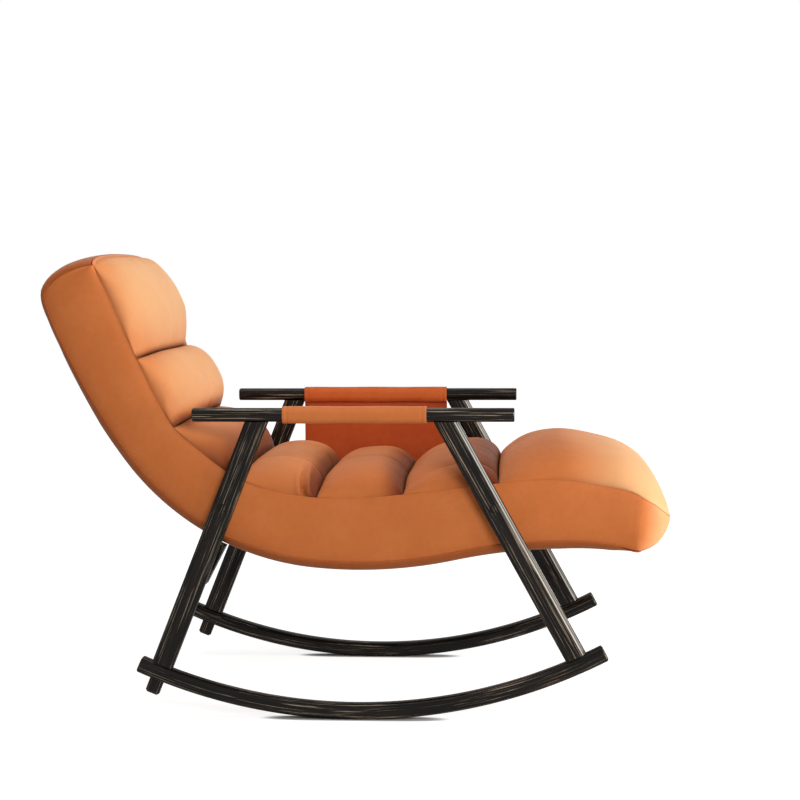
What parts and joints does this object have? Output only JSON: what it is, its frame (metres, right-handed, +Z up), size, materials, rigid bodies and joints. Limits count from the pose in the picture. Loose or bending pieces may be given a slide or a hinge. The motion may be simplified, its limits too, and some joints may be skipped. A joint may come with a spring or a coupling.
{
  "type": "rocking chair",
  "caption": "Long rocking chair: an S-shaped seat of padded leather rolls bolted between two dark wooden side frames on curved rockers, with leather arm sleeves and a hanging side pocket.",
  "frame": {"origin": "middle of the chair's bounding box, on the floor", "axes": "+X towards the sitter's feet, +Y to the sitter's left, +Z up"},
  "size_m": [1.2337, 0.6404, 0.9037],
  "materials": {
    "leather": "smooth orange-tan leather, soft sheen",
    "dark_wood": "dark stained open-grain wood, satin lacquer",
    "inner_wood": "raw planed wood",
    "steel": "plain steel",
    "webbing": "woven elastic webbing"
  },
  "bodies": {
    "frame": {"arm_rail_left": "dark_wood", "arm_rail_right": "dark_wood", "arm_sleeve_left": "leather", "arm_sleeve_right": "leather", "back_and_underside_cover": "leather", "back_cross_rail": "inner_wood", "bolt_cap_front_left": "dark_wood", "bolt_cap_front_right": "dark_wood", "bolt_cap_rear_left": "dark_wood", "bolt_cap_rear_right": "dark_wood", "calf_roll": "leather", "corbel_left": "dark_wood", "corbel_right": "dark_wood", "foot_cross_rail": "inner_wood", "front_leg_left": "dark_wood", "front_leg_right": "dark_wood", "front_seat_cross_rail": "inner_wood", "front_seat_roll": "leather", "head_cross_rail": "inner_wood", "head_roll": "leather", "lumbar_roll": "leather", "middle_seat_roll": "leather", "nut_plate_front_left": "steel", "nut_plate_front_right": "steel", "nut_plate_rear_left": "steel", "nut_plate_rear_right": "steel", "rear_leg_left": "dark_wood", "rear_leg_right": "dark_wood", "rear_seat_cross_rail": "inner_wood", "rear_seat_roll": "leather", "rocker_left": "dark_wood", "rocker_right": "dark_wood", "seat_body": "leather", "seat_bolt_front_left": "steel", "seat_bolt_front_right": "steel", "seat_bolt_rear_left": "steel", "seat_bolt_rear_right": "steel", "seat_side_plate_left": "inner_wood", "seat_side_plate_right": "inner_wood", "seat_spacer_front_left": "steel", "seat_spacer_front_right": "steel", "seat_spacer_rear_left": "steel", "seat_spacer_rear_right": "steel", "tilt_stop_left": "dark_wood", "tilt_stop_peg_left": "steel", "tilt_stop_peg_right": "steel", "tilt_stop_right": "dark_wood", "upper_back_roll": "leather", "webbing_strap_1": "webbing", "webbing_strap_2": "webbing", "webbing_strap_3": "webbing", "webbing_strap_4": "webbing", "webbing_strap_5": "webbing", "webbing_strap_6": "webbing", "welt_left": "leather", "welt_right": "leather"},
    "pocket": {"pocket_panel": "leather", "pocket_pouch": "leather"}
  },
  "joints": [
    {"name": "pocket_swing", "type": "hinge", "parent": "frame", "child": "pocket", "pos_m": [0.004, 0.3, 0.57409], "axis": [1, 0, 0], "range_deg": [0, 45]}
  ]
}
